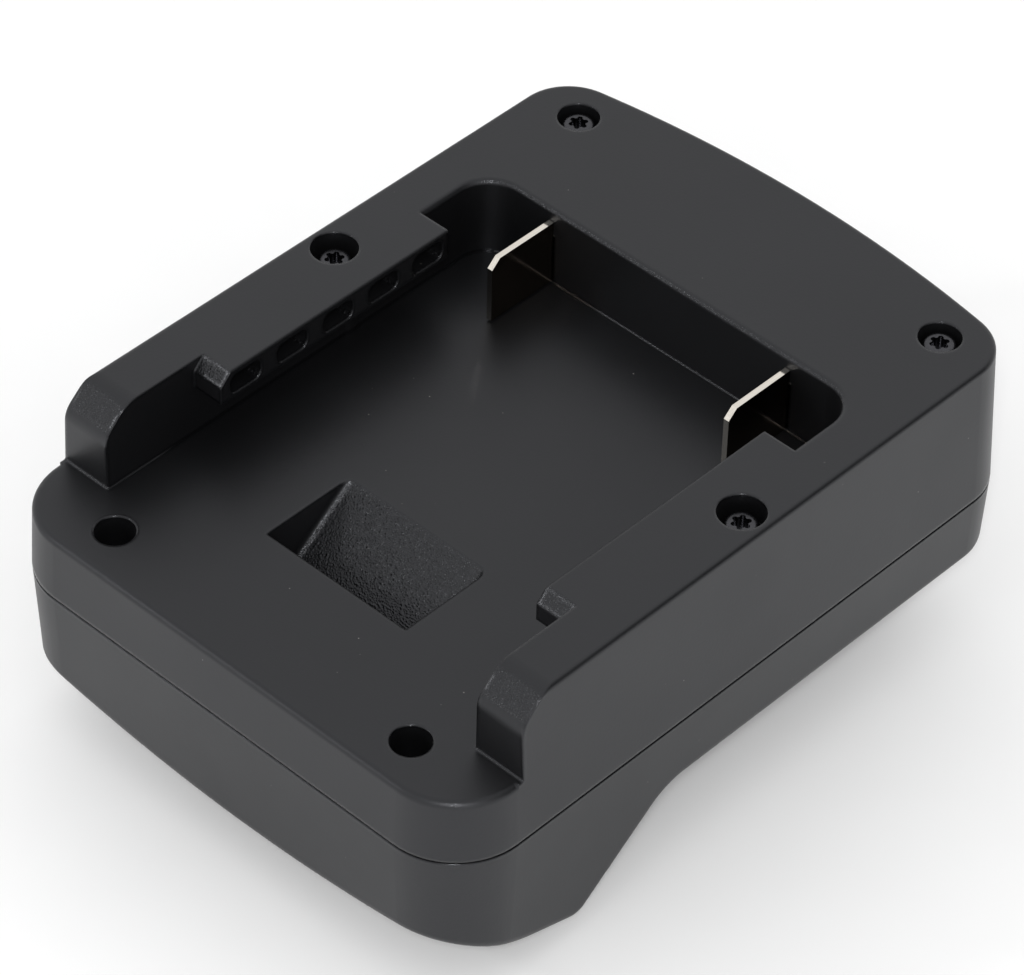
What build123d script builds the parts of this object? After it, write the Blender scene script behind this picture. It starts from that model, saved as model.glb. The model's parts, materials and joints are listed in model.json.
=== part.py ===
"""Tool battery adapter: a two-shell housing that takes one slide-in battery on its deck
and slides by the rails on its underside into a tool.

X runs across, Y along the slide towards the closed end, Z up. The origin is the centre of
the footprint, on the surface that the adapter stands on. Lengths are in millimetres.
"""
import os
from math import atan2, cos, pi, radians, sin, sqrt, tan

from build123d import *

os.makedirs("parts", exist_ok=True)

# Housing
closed_end_length = 26.0
deck_height = 35.4
rail_wall_height = 11.6
seam_drop = 9.2
shell_wall = 2.4
deck_wall = 2.4
near_corner_radius = 10.2
far_corner_radius = 8.4
far_bulge_radius = 186.0
side_draft = 2.75
top_edge_round = 0.6
deck_edge_round = 0.8
cut_overrun = 2.0
seat_gap = 0.05

# Seam: a reveal outside and a tongue inside
seam_reveal = 0.35
seam_reveal_depth = 0.6
tongue_width = 1.0
tongue_height = 1.6
tongue_clearance = 0.12

# Battery receptacle on the deck
receptacle_length = 77.9
channel_width = 62.4
rail_wall_width = 8.1
channel_corner_radius = 5.0
wall_setback = 11.4
wall_front_drop = 3.5
wall_front_run = 3.6
wall_front_round = 4.4
wall_nose_round = 3.4
wall_foot_round = 0.3
back_edge_round = 0.7
overhang_reach = 4.7
overhang_thickness = 4.3
overhang_start = 26.2
notch_length = 12.1
overhang_chamfer = 1.7
overhang_edge_round = 0.3
core_slot_count = 5
core_slot_pitch = 7.95
core_slot_length = 5.3
core_slot_depth = 3.0
core_slot_sill = 0.45
core_slot_roof = 0.8
core_slot_round = 1.2
core_slot_first = 30.4

# Catch pocket in the deck, for the battery's latch
pocket_width = 23.5
pocket_start = 19.5
pocket_length = 14.1
pocket_depth = 9.2
pocket_ramp_angle = 37.0
pocket_wall = 2.0
pocket_foot_round = 1.0

# Underside profile of the lower shell
belly_drop = 20.2
step_slope = 40.5
step_round = 8.0
ridge_round = 3.2
ridge_distance = 19.5
ridge_crown = 3.2
near_edge_height = 9.8
near_edge_crown = 4.2
hump_bulge = 1.5
hump_bulge_round = 30.0
lower_edge_round = 1.5

# Tool slide on the underside
rail_flange_reach = 5.0
neck_wall = 3.0
rail_flange_thickness = 3.4
rail_groove_height = 5.0
valley_shoulder = 2.0
valley_depth = 5.0
slide_wall = 2.2
slide_end_inset = 7.2
slide_lead = 1.0

# Release latch, its button and the scoop that it sits in
scoop_width = 24.0
scoop_start = 5.0
scoop_length = 12.0
scoop_height = 9.6
scoop_round = 3.0
scoop_wall = 2.0
button_width = 15.0
button_length = 7.6
button_stand = 1.6
button_start = 7.2
button_rib_count = 3
button_rib_height = 0.5
button_rib_width = 0.8
button_rib_pitch = 2.2
latch_clearance = 0.3
latch_rest_gap = 0.1
latch_plate_thickness = 3.0
latch_plate_width = 14.0
latch_flange = 2.2
hook_width = 13.0
hook_length = 6.0
hook_tip_length = 1.6
hook_floor_gap = 0.6
hook_setback = 1.8
spring_wire = 0.5
spring_mean_radius = 2.1
spring_turns = 6
spring_spacing = 8.8
spring_pin_height = 1.3
spring_pin_clearance = 0.3

# Housing screws
screw_shank_radius = 1.45
screw_pilot_clearance = 0.05
screw_hole_clearance = 0.2
screw_head_radius = 2.35
screw_head_height = 1.9
screw_head_round = 0.8
star_socket_radius = 0.95
star_socket_depth = 1.2
star_lobe_radius = 0.36
star_lobe_count = 6
screw_grip = 7.0
boss_wall = 1.2
far_screw_side_inset = 8.8
far_screw_end_inset = 9.9
far_screw_bore = 5.6
far_screw_depth = 0.9
rail_screw_setback = 3.0
rail_screw_distance = 53.3
rail_screw_bore = 6.2
rail_screw_depth = 1.7
rail_boss_radius = 3.2
front_screw_side_inset = 14.2
front_screw_distance = 6.9
front_screw_bore = 5.2
front_screw_depth = 6.0

# Battery blades and their carrier
blade_spacing = 39.9
blade_thickness = 0.8
blade_height = 9.9
blade_reach = 11.3
blade_bevel_run = 1.4
blade_bevel_rise = 1.3
blade_shoulder = 2.4
blade_foot_gap = 0.3
blade_slot_clearance = 0.1
blade_tab_width = 5.0
blade_tab_drop = 12.0
carrier_width = 52.0
carrier_depth = 5.0
carrier_height = 9.6
carrier_drop = 1.4
carrier_gap = 0.1
carrier_ear_length = 6.0
carrier_ear_thickness = 2.2
carrier_ear_width = 9.0
carrier_ear_spacing = 20.0
carrier_boss_length = 4.8

# Small screws of the inner pieces
small_shank_radius = 1.0
small_head_radius = 1.9
small_head_height = 1.3
small_cross_width = 0.5
small_cross_depth = 0.7
small_pilot_clearance = 0.05
small_hole_clearance = 0.2
small_grip = 3.6
small_boss_radius = 2.4
head_down_turn = 180

# Output terminal block and its clips
block_side_wall = 2.7
block_length = 20.0
block_height = 11.5
block_floor_gap = 0.5
block_clearance = 0.3
block_flange_gap = 0.4
block_flange_thickness = 1.8
block_ear_length = 5.6
block_ear_width = 6.0
block_ear_inset = 2.5
block_boss_height = 2.8
terminal_pitch = 10.0
chamber_width = 5.6
chamber_floor = 1.6
chamber_wall = 1.6
chamber_length = 15.0
tool_slot_width = 2.4
tool_slot_height = 9.4
tool_slot_length = 13.0
clip_thickness = 0.6
clip_height = 7.4
clip_gap = 3.4
clip_pinch = 1.6
clip_mouth = 3.0
clip_length = 12.5
clip_bend = 0.7
clip_contact_share = 0.72
clip_tab_width = 3.0
clip_tab_height = 8.0
clip_seat_gap = 0.1
signal_clip_height = 5.0

# Circuit board and what it carries
board_width = 42.0
board_length = 30.0
board_thickness = 1.6
board_height = 18.0
board_setback = 56.2
board_hole_inset = 3.4
solder_gap = 0.02
transistor_width = 6.5
transistor_length = 6.1
transistor_height = 2.3
transistor_pitch = 9.0
transistor_count = 3
transistor_inset = 4.6
transistor_tab = 3.0
transistor_tab_thickness = 0.5
chip_length = 5.0
chip_width = 3.9
chip_height = 1.5
chip_pin_reach = 1.0
chip_pin_width = 0.42
chip_pin_thickness = 0.25
chip_pin_pitch = 1.27
chip_pin_count = 4
chip_x = -9.0
chip_distance = 14.5
capacitor_radius = 4.0
capacitor_height = 9.5
capacitor_round = 0.6
capacitor_groove = 0.3
capacitor_groove_height = 1.6
capacitor_x = 8.6
capacitor_distance = 15.6
shunt_length = 6.4
shunt_width = 3.2
shunt_height = 0.9
shunt_distance = 20.5
resistor_length = 3.2
resistor_width = 1.6
resistor_height = 0.6
resistor_pitch = 3.4
resistor_count = 3
resistor_distance = 21.5

# Leads between blades, board and clips
power_lead_diameter = 2.4
signal_lead_diameter = 1.2
lead_bend = 4.0
signal_lead_bend = 3.0
lead_rise = 6.6
input_pad_spacing = 32.0
input_pad_distance = 20.5
output_pad_distance = 25.6

# Levels and places that follow from the sizes above
overall_width = channel_width + rail_wall_width * 2
overall_length = receptacle_length + closed_end_length
half_width = overall_width / 2
near_y = -overall_length / 2
far_y = overall_length / 2
top_z = deck_height + rail_wall_height
seam_z = deck_height - seam_drop
belly_z = deck_height - belly_drop
belly_floor_z = belly_z + shell_wall
deck_under_z = deck_height - deck_wall
block_under_z = top_z - shell_wall
top_inset = (top_z - seam_z) * tan(radians(side_draft))
base_inset = seam_z * tan(radians(side_draft))

back_wall_y = near_y + receptacle_length
block_near_y = back_wall_y + shell_wall
wall_front_y = near_y + wall_setback
overhang_gap = channel_width - overhang_reach * 2
overhang_near_y = near_y + overhang_start
overhang_far_y = back_wall_y - notch_length
overhang_under_z = top_z - overhang_thickness

pocket_near_y = near_y + pocket_start
pocket_far_y = pocket_near_y + pocket_length
pocket_floor_z = deck_height - pocket_depth
pocket_under_z = pocket_floor_z - pocket_wall
pocket_foot_y = pocket_far_y - pocket_depth / tan(radians(pocket_ramp_angle))
pocket_skin_y = pocket_wall / sin(radians(pocket_ramp_angle))
pocket_under_far_y = pocket_foot_y + pocket_skin_y - pocket_wall / tan(radians(pocket_ramp_angle))
pocket_under_near_y = pocket_near_y - pocket_wall

block_width = terminal_pitch * 2 + chamber_width + block_side_wall * 2
valley_width = block_width + valley_shoulder * 2
rail_neck_width = valley_width + neck_wall * 2
rail_flange_width = rail_neck_width + rail_flange_reach * 2
step_rise = tan(radians(step_slope))
ridge_y = near_y + ridge_distance
valley_near_y = ridge_y + valley_depth / step_rise
valley_top_z = valley_depth + slide_wall
groove_top_z = rail_flange_thickness + rail_groove_height
slide_far_y = far_y - slide_end_inset
trough_far_y = slide_far_y - slide_wall

scoop_near_y = near_y + scoop_start
scoop_far_y = scoop_near_y + scoop_length
cup_top_z = scoop_height + scoop_wall
button_near_y = near_y + button_start
button_far_y = button_near_y + button_length
latch_plate_z = cup_top_z + latch_rest_gap
latch_top_z = latch_plate_z + latch_plate_thickness
hook_near_y = valley_near_y + hook_setback
hook_far_y = hook_near_y + hook_length
spring_y = (pocket_under_near_y + pocket_under_far_y) / 2
spring_pin_radius = spring_mean_radius - spring_wire / 2 - spring_pin_clearance

far_head_z = top_z - far_screw_depth
rail_head_z = top_z - rail_screw_depth
front_head_z = deck_height - front_screw_depth
screw_tip_z = seam_z - screw_grip

carrier_near_y = block_near_y + carrier_gap
carrier_far_y = carrier_near_y + carrier_depth
carrier_top_z = block_under_z - carrier_drop
carrier_ear_y = carrier_far_y + carrier_ear_length / 2
carrier_ear_top_z = block_under_z - carrier_boss_length
blade_top_z = deck_height + blade_height
blade_foot_z = deck_height + blade_foot_gap
blade_tail_top_z = blade_top_z - blade_shoulder
blade_tab_near_y = carrier_far_y + blade_slot_clearance
blade_tab_far_y = blade_tab_near_y + blade_tab_width
blade_tab_bottom_z = blade_tail_top_z - blade_tab_drop
blade_tab_y = (blade_tab_near_y + blade_tab_far_y) / 2

block_flange_width = rail_neck_width - shell_wall * 2 - block_flange_gap * 2
block_ear_spacing = block_width - block_ear_inset * 2
block_near_end_y = slide_far_y - block_length
block_top_z = block_floor_gap + block_height
block_flange_z = valley_top_z + clip_seat_gap
block_ear_y = block_near_end_y - block_ear_length / 2
block_ear_z = valley_top_z + block_boss_height
chamber_far_y = slide_far_y - chamber_wall
chamber_near_y = chamber_far_y - chamber_length
clip_foot_z = block_floor_gap + chamber_floor + clip_seat_gap
clip_base_y = chamber_near_y + clip_thickness
clip_tab_top_z = block_top_z + clip_tab_height

board_near_y = slide_far_y - board_setback
board_far_y = board_near_y + board_length
board_top_z = board_height + board_thickness
part_foot_z = board_top_z + solder_gap
lead_top_z = board_top_z + lead_rise
board_holes_at = [
    (side * (board_width / 2 - board_hole_inset), y)
    for side in (-1, 1)
    for y in (board_near_y + board_hole_inset, board_far_y - board_hole_inset)
]


def pair(spacing, y):
    """Two places at equal distances left and right of the middle."""
    return [(-spacing / 2, y), (spacing / 2, y)]


far_screws_at = pair(overall_width - far_screw_side_inset * 2, far_y - far_screw_end_inset)
rail_screws_at = pair(channel_width + rail_screw_setback * 2, near_y + rail_screw_distance)
front_screws_at = pair(overall_width - front_screw_side_inset * 2, near_y + front_screw_distance)
carrier_screws_at = pair(carrier_ear_spacing, carrier_ear_y)
block_screws_at = pair(block_ear_spacing, block_ear_y)
springs_at = pair(spring_spacing, spring_y)

# Each row of housing screws: places, top of the heads, open level, bore, boss radius
screw_rows = [
    (far_screws_at, far_head_z, top_z, far_screw_bore, far_screw_bore / 2 + boss_wall),
    (rail_screws_at, rail_head_z, top_z, rail_screw_bore, rail_boss_radius),
    (front_screws_at, front_head_z, deck_height, front_screw_bore, front_screw_bore / 2 + boss_wall),
]


def plan_face(level, inset):
    """The housing's outline on one level, drawn in evenly from its widest line by the inset."""
    half = half_width - inset
    apex_y = far_y - inset
    bulge = far_bulge_radius - inset
    shoulder_y = apex_y - bulge + sqrt(bulge**2 - half**2)
    with BuildSketch(Plane.XY.offset(level)) as outline:
        with BuildLine():
            near = near_y + inset
            Polyline((-half, shoulder_y), (-half, near), (half, near), (half, shoulder_y))
            ThreePointArc((half, shoulder_y), (0, apex_y), (-half, shoulder_y))
        make_face()
        fillet(outline.vertices().group_by(Axis.Y)[0], near_corner_radius - inset)
        fillet(outline.vertices().group_by(Axis.Y)[-1], far_corner_radius - inset)
    return outline.sketch


def bar_x(width, *profile, radii=0):
    """A bar across X, centred, whose section is a closed outline of (y, z) points."""
    with BuildPart() as bar:
        with BuildSketch(Plane.YZ.offset(-width / 2)):
            with BuildLine():
                FilletPolyline(*profile, radius=radii, close=True)
            make_face()
        extrude(amount=width)
    return bar.part


def block(x0, x1, y0, y1, z0, z1):
    """A box from its lowest to its highest corner."""
    with BuildPart() as solid:
        with BuildSketch(Plane.XY.offset(z0)):
            with Locations(((x0 + x1) / 2, (y0 + y1) / 2)):
                Rectangle(x1 - x0, y1 - y0)
        extrude(amount=z1 - z0)
    return solid.part


def posts(places, radius, z0, z1):
    """Upright round posts at each of the places."""
    with BuildPart() as solid:
        with BuildSketch(Plane.XY.offset(z0)):
            with Locations(*places):
                Circle(radius)
        extrude(amount=z1 - z0)
    return solid.part


def upper_form():
    """The upper shell as a full body from the seam to its top, with drafted sides."""
    with BuildPart() as solid:
        loft([plan_face(seam_z, 0), plan_face(top_z, top_inset)], ruled=True)
    return solid.part


def deck_body(form):
    """The part of the upper form below the deck, with its edge rounded."""
    with BuildPart() as solid:
        add(form)
        add(block(-overall_width, overall_width, -overall_length, overall_length, deck_height,
                  top_z + cut_overrun), mode=Mode.SUBTRACT)
        fillet(solid.faces().sort_by(Axis.Z)[-1].edges(), deck_edge_round)
    return solid.part


def wall_blank(form):
    """The upper form behind the wall fronts, before the channel is cut: walls and closed-end block."""
    foot_y = wall_front_y - wall_foot_round - top_edge_round
    with BuildPart() as solid:
        add(form)
        fillet(solid.faces().sort_by(Axis.Z)[-1].edges(), top_edge_round)
        add(
            bar_x(
                overall_width + cut_overrun,
                (near_y - cut_overrun, seam_z - cut_overrun),
                (foot_y, seam_z - cut_overrun),
                (foot_y, deck_height),
                (wall_front_y, deck_height),
                (wall_front_y, top_z - wall_front_drop),
                (wall_front_y + wall_front_run, top_z),
                (wall_front_y + wall_front_run + wall_front_round, top_z),
                (wall_front_y + wall_front_run + wall_front_round, top_z + cut_overrun),
                (near_y - cut_overrun, top_z + cut_overrun),
                radii=[0, 0, 0, wall_foot_round, wall_nose_round, wall_front_round, 0, 0, 0],
            ),
            mode=Mode.SUBTRACT,
        )
    return solid.part


def channel_cut():
    """The space between the side walls, up to the back wall with its rounded corners."""
    with BuildPart() as solid:
        with BuildSketch(Plane.XY.offset(deck_height)) as plan:
            with Locations((0, (near_y - cut_overrun + back_wall_y) / 2)):
                Rectangle(channel_width, back_wall_y - near_y + cut_overrun)
            fillet(plan.vertices().group_by(Axis.Y)[-1], channel_corner_radius)
        extrude(amount=rail_wall_height + cut_overrun)
    return solid.part


def overhangs():
    """The two inward lips that hold the battery down, chamfered where it enters."""
    with BuildPart() as solid:
        for side in (-1, 1):
            inner = side * overhang_gap / 2
            outer = side * (channel_width / 2 + seam_reveal_depth)
            add(block(min(inner, outer), max(inner, outer), overhang_near_y, overhang_far_y,
                      overhang_under_z, top_z))
        near_top = solid.edges().filter_by(Axis.X).group_by(Axis.Z)[-1].group_by(Axis.Y)[0]
        chamfer(near_top, overhang_chamfer)
        inner_top = solid.edges().filter_by(Axis.Y).group_by(Axis.Z)[-1]
        fillet([edge for edge in inner_top if abs(edge.center().X) < channel_width / 2],
               overhang_edge_round)
    return solid.part


def core_slots():
    """The row of cored slots in the inner faces of both overhangs."""
    height = overhang_thickness - core_slot_sill - core_slot_roof
    middle_z = overhang_under_z + core_slot_sill + height / 2
    with BuildPart() as solid:
        with BuildSketch(Plane.YZ.offset(-overhang_gap / 2 - core_slot_depth)):
            for step in range(core_slot_count):
                with Locations((near_y + core_slot_first + step * core_slot_pitch, middle_z)):
                    RectangleRounded(core_slot_length, height, core_slot_round)
        extrude(amount=overhang_gap + core_slot_depth * 2)
    return solid.part


def pocket_cut():
    """The catch pocket: upright near end, ramp at the far end, soft edges at its foot."""
    with BuildPart() as solid:
        add(
            bar_x(
                pocket_width,
                (pocket_near_y, deck_height + cut_overrun),
                (pocket_near_y, pocket_floor_z),
                (pocket_foot_y, pocket_floor_z),
                (pocket_far_y, deck_height),
                (pocket_far_y, deck_height + cut_overrun),
            )
        )
        ramp = solid.faces().filter_by(lambda face: -1 < face.normal_at().Z < 0)
        fillet([edge for edge in ramp.edges() if abs(edge.center().X) > pocket_width / 2 - seat_gap],
               pocket_foot_round)
    return solid.part


def pocket_skin():
    """The walls that hang under the deck around the catch pocket."""
    return bar_x(
        pocket_width + pocket_wall * 2,
        (pocket_under_near_y, deck_under_z),
        (pocket_under_near_y, pocket_under_z),
        (pocket_under_far_y, pocket_under_z),
        (pocket_far_y + pocket_skin_y, deck_under_z),
    )


def blade(side):
    """One flat contact blade: bevelled tip, shoulder at the back wall, solder tab behind it."""
    with BuildPart() as solid:
        with BuildSketch(Plane.YZ.offset(side * blade_spacing / 2 - blade_thickness / 2)):
            with BuildLine():
                Polyline(
                    (back_wall_y - blade_reach, blade_foot_z),
                    (back_wall_y - blade_reach, blade_top_z - blade_bevel_rise),
                    (back_wall_y - blade_reach + blade_bevel_run, blade_top_z),
                    (back_wall_y - carrier_gap, blade_top_z),
                    (back_wall_y - carrier_gap, blade_tail_top_z),
                    (blade_tab_far_y, blade_tail_top_z),
                    (blade_tab_far_y, blade_tab_bottom_z),
                    (blade_tab_near_y, blade_tab_bottom_z),
                    (blade_tab_near_y, blade_foot_z),
                    close=True,
                )
            make_face()
        extrude(amount=blade_thickness)
    return solid.part


def blade_slots(y0, y1):
    """The two upright slots that the blades pass through, from one y to another."""
    with BuildPart() as solid:
        for x in (-blade_spacing / 2, blade_spacing / 2):
            half = blade_thickness / 2 + blade_slot_clearance
            add(block(x - half, x + half, y0, y1, blade_foot_z - blade_slot_clearance,
                      blade_tail_top_z + blade_slot_clearance))
    return solid.part


def seam_ring(inset, width, z0, z1, grow):
    """A ring along the seam: the housing's outline between two insets."""
    with BuildPart() as solid:
        outer = plan_face(z0, inset - grow)
        inner = plan_face(z0, inset + width + grow)
        extrude(outer, amount=z1 - z0)
        extrude(inner, amount=z1 - z0, mode=Mode.SUBTRACT)
    return solid.part


shell_form = upper_form()
with BuildPart() as upper_shell:
    add(deck_body(shell_form))
    add(wall_blank(shell_form))
    add(channel_cut(), mode=Mode.SUBTRACT)
    add(overhangs())
    add(core_slots(), mode=Mode.SUBTRACT)
    back_edges = [
        edge
        for edge in upper_shell.edges().filter_by(GeomType.LINE).filter_by(Axis.X)
        if abs(edge.center().Y - back_wall_y) < seat_gap and abs(edge.center().Z - top_z) < seat_gap
    ]
    fillet(back_edges, back_edge_round)
    extrude(plan_face(seam_z, shell_wall), amount=deck_under_z - seam_z, mode=Mode.SUBTRACT)
    with BuildSketch(Plane.XY.offset(deck_under_z - cut_overrun)):
        add(plan_face(deck_under_z - cut_overrun, shell_wall + seam_reveal))
        with Locations((0, (near_y - cut_overrun + block_near_y) / 2)):
            Rectangle(overall_width, block_near_y - near_y + cut_overrun, mode=Mode.SUBTRACT)
    extrude(amount=block_under_z - deck_under_z + cut_overrun, mode=Mode.SUBTRACT)
    add(pocket_skin())
    add(pocket_cut(), mode=Mode.SUBTRACT)
    add(posts(springs_at, spring_pin_radius, pocket_under_z - spring_pin_height,
              pocket_under_z + seat_gap))
    for places, head_z, open_z, bore, boss_radius in screw_rows:
        add(posts(places, boss_radius, seam_z, max(head_z, open_z - deck_wall + seat_gap)))
        add(posts(places, bore / 2, head_z - screw_head_height, open_z + cut_overrun),
            mode=Mode.SUBTRACT)
        add(posts(places, screw_shank_radius + screw_hole_clearance, seam_z - cut_overrun, head_z),
            mode=Mode.SUBTRACT)
    add(posts(carrier_screws_at, small_boss_radius, carrier_ear_top_z + seat_gap,
              block_under_z + seat_gap))
    add(posts(carrier_screws_at, small_shank_radius + small_pilot_clearance, carrier_ear_top_z,
              carrier_ear_top_z + small_grip + seat_gap * 2), mode=Mode.SUBTRACT)
    add(blade_slots(back_wall_y - cut_overrun, block_near_y + seat_gap), mode=Mode.SUBTRACT)
    add(seam_ring(shell_wall - tongue_width, tongue_width, seam_z, seam_z + tongue_height + seat_gap * 2,
                  tongue_clearance), mode=Mode.SUBTRACT)
upper_shell.part.label = "upper_shell"
export_step(upper_shell.part, "parts/upper_shell.step")


def underside_section(x, ridge_height, near_height, lift):
    """The housing's side profile on one plane across X: belly, step, hump, near end."""
    ridge_place = ridge_y + ridge_height / step_rise
    bulge_y = (ridge_place + near_y) / 2
    bulge_z = (ridge_height + near_height) / 2 - hump_bulge
    near_rise = (near_height - bulge_z) / (bulge_y - near_y)
    roof_z = seam_z + cut_overrun
    with BuildSketch(Plane.YZ.offset(x)) as profile:
        with BuildLine():
            FilletPolyline(
                (far_y + cut_overrun, belly_z + lift),
                (ridge_y + belly_z / step_rise, belly_z + lift),
                (ridge_place, ridge_height + lift),
                (bulge_y, bulge_z + lift),
                (near_y - cut_overrun, near_height + near_rise * cut_overrun + lift),
                (near_y - cut_overrun, roof_z + lift),
                (far_y + cut_overrun, roof_z + lift),
                radius=[0, step_round, ridge_round, hump_bulge_round, 0, 0, 0],
                close=True,
            )
        make_face()
    return profile.sketch


def underside_form(lift):
    """Everything above the underside, raised by the lift: lower in the middle than at the sides."""
    with BuildPart() as solid:
        side = underside_section(-half_width, ridge_crown, near_edge_height + near_edge_crown, lift)
        middle = underside_section(0, 0, near_edge_height, lift)
        other = underside_section(half_width, ridge_crown, near_edge_height + near_edge_crown, lift)
        loft([side, middle, other])
    return solid.part


def lower_form(inset, lift):
    """The lower shell as a full body with drafted sides, drawn in and raised for its hollow."""
    with BuildPart() as solid:
        loft([plan_face(seam_z + lift, inset), plan_face(0, base_inset + inset)], ruled=True)
        add(underside_form(lift), mode=Mode.INTERSECT)
    return solid.part


def outer_form():
    """The lower shell as a full body with its lower edges rounded."""
    split = cos(radians(step_slope)) / 2
    with BuildPart() as solid:
        add(lower_form(0, 0))
        sides = solid.faces().filter_by(lambda face: abs(face.normal_at().Z) < split)
        under = solid.faces().filter_by(lambda face: face.normal_at().Z < -split)
        fillet([edge for edge in sides.edges() if edge in under.edges()], lower_edge_round)
    return solid.part


def mirrored_outline(right_side):
    """An outline given on its right side, closed by its mirror image on the left."""
    return right_side + [(-x, z) for x, z in reversed(right_side)]


def bar_y(y0, y1, outline):
    """A bar along Y between two places, whose section is a closed outline of (x, z) points."""
    with BuildPart() as solid:
        with BuildSketch(Plane.XZ.offset(-y1)):
            with BuildLine():
                Polyline(*outline, close=True)
            make_face()
        extrude(amount=y1 - y0)
    return solid.part


def slide_body():
    """The platform with its two outward rail flanges, hanging under the belly."""
    with BuildPart() as solid:
        add(
            bar_y(
                ridge_y + slide_lead,
                slide_far_y,
                mirrored_outline(
                    [
                        (rail_flange_width / 2, 0),
                        (rail_flange_width / 2, rail_flange_thickness),
                        (rail_neck_width / 2, rail_flange_thickness),
                        (rail_neck_width / 2, groove_top_z),
                        (rail_flange_width / 2, groove_top_z),
                        (rail_flange_width / 2, belly_floor_z),
                    ]
                ),
            )
        )
        far_uprights = solid.edges().filter_by(Axis.Z).group_by(Axis.Y)[-1]
        chamfer([edge for edge in far_uprights if edge.center().Z < rail_flange_thickness], slide_lead)
    return solid.part


def valley_cut():
    """The open channel between the rails, ending on the slope of the step."""
    lap = cut_overrun / step_rise
    return bar_x(
        valley_width,
        (ridge_y - lap, -cut_overrun),
        (valley_near_y, valley_depth),
        (slide_far_y + cut_overrun, valley_depth),
        (slide_far_y + cut_overrun, -cut_overrun),
    )


def trough_cut():
    """The hollow inside the platform, open into the housing above and into the hump."""
    inner_neck = rail_neck_width / 2 - shell_wall
    inner_flange = rail_flange_width / 2 - slide_wall
    slope_top_y = ridge_y + (valley_top_z - shell_wall) / step_rise
    with BuildPart() as solid:
        add(
            bar_y(
                ridge_y,
                trough_far_y,
                mirrored_outline(
                    [
                        (inner_neck, valley_top_z),
                        (inner_neck, groove_top_z + slide_wall),
                        (inner_flange, groove_top_z + slide_wall),
                        (inner_flange, belly_floor_z + cut_overrun),
                    ]
                ),
            )
        )
        add(
            bar_x(
                inner_neck * 2,
                (ridge_y, shell_wall),
                (slope_top_y, valley_top_z),
                (slope_top_y, valley_top_z + cut_overrun),
                (ridge_y, valley_top_z + cut_overrun),
            )
        )
    return solid.part


def inner_fill(shell_body):
    """Scoop cup and screw bosses as full bodies, kept within the shell's outer form."""
    with BuildPart() as solid:
        cup = scoop_width / 2 + scoop_wall
        add(block(-cup, cup, near_y, scoop_far_y + scoop_wall, 0, cup_top_z))
        for places, _, _, bore, boss_radius in screw_rows:
            add(posts(places, boss_radius, 0, seam_z - seat_gap))
        add(shell_body, mode=Mode.INTERSECT)
    return solid.part


def scoop_cut():
    """The finger scoop under the hump, with rounded upright corners."""
    with BuildPart() as solid:
        add(block(-scoop_width / 2, scoop_width / 2, scoop_near_y, scoop_far_y,
                  -cut_overrun, scoop_height))
        fillet(solid.edges().filter_by(Axis.Z), scoop_round)
    return solid.part


shell_body = outer_form()
with BuildPart() as lower_shell:
    add(shell_body)
    add(lower_form(shell_wall, shell_wall), mode=Mode.SUBTRACT)
    add(inner_fill(shell_body))
    add(slide_body())
    add(valley_cut(), mode=Mode.SUBTRACT)
    add(trough_cut(), mode=Mode.SUBTRACT)
    add(scoop_cut(), mode=Mode.SUBTRACT)
    button_gap = button_width / 2 + latch_clearance
    add(block(-button_gap, button_gap, button_near_y - latch_clearance, button_far_y + latch_clearance,
              scoop_height - cut_overrun, cup_top_z + cut_overrun), mode=Mode.SUBTRACT)
    hook_gap = hook_width / 2 + latch_clearance
    add(block(-hook_gap, hook_gap, hook_near_y - latch_clearance, hook_far_y + latch_clearance,
              valley_depth - cut_overrun, belly_floor_z + cut_overrun), mode=Mode.SUBTRACT)
    block_gap = block_width / 2 + block_clearance
    add(block(-block_gap, block_gap, block_near_end_y - block_clearance, slide_far_y + cut_overrun,
              -cut_overrun, block_top_z + block_clearance), mode=Mode.SUBTRACT)
    add(posts(board_holes_at, small_boss_radius, valley_top_z - slide_wall / 2, board_height - seat_gap))
    add(posts(board_holes_at, small_shank_radius + small_pilot_clearance, board_height - small_grip,
              board_height), mode=Mode.SUBTRACT)
    add(posts(block_screws_at, small_boss_radius, valley_top_z - slide_wall / 2, block_ear_z - seat_gap))
    add(posts(block_screws_at, small_shank_radius + small_pilot_clearance, block_ear_z - small_grip,
              block_ear_z), mode=Mode.SUBTRACT)
    add(seam_ring(0, seam_reveal_depth, seam_z - seam_reveal, seam_z + seat_gap, 0), mode=Mode.SUBTRACT)
    add(seam_ring(shell_wall - tongue_width, tongue_width, seam_z - seam_reveal,
                  seam_z + tongue_height, 0))
    for places, _, _, _, _ in screw_rows:
        add(posts(places, screw_shank_radius + screw_pilot_clearance, screw_tip_z - seat_gap, seam_z),
            mode=Mode.SUBTRACT)
        add(posts(places, screw_shank_radius + screw_hole_clearance, seam_z - seat_gap,
                  seam_z + tongue_height + cut_overrun), mode=Mode.SUBTRACT)
lower_shell.part.label = "lower_shell"
export_step(lower_shell.part, "parts/lower_shell.step")


# Contact blades and the bar that carries them
with BuildPart() as positive_blade:
    add(blade(1))
positive_blade.part.label = "positive_blade"
export_step(positive_blade.part, "parts/positive_blade.step")

with BuildPart() as negative_blade:
    add(blade(-1))
negative_blade.part.label = "negative_blade"
export_step(negative_blade.part, "parts/negative_blade.step")

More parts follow.
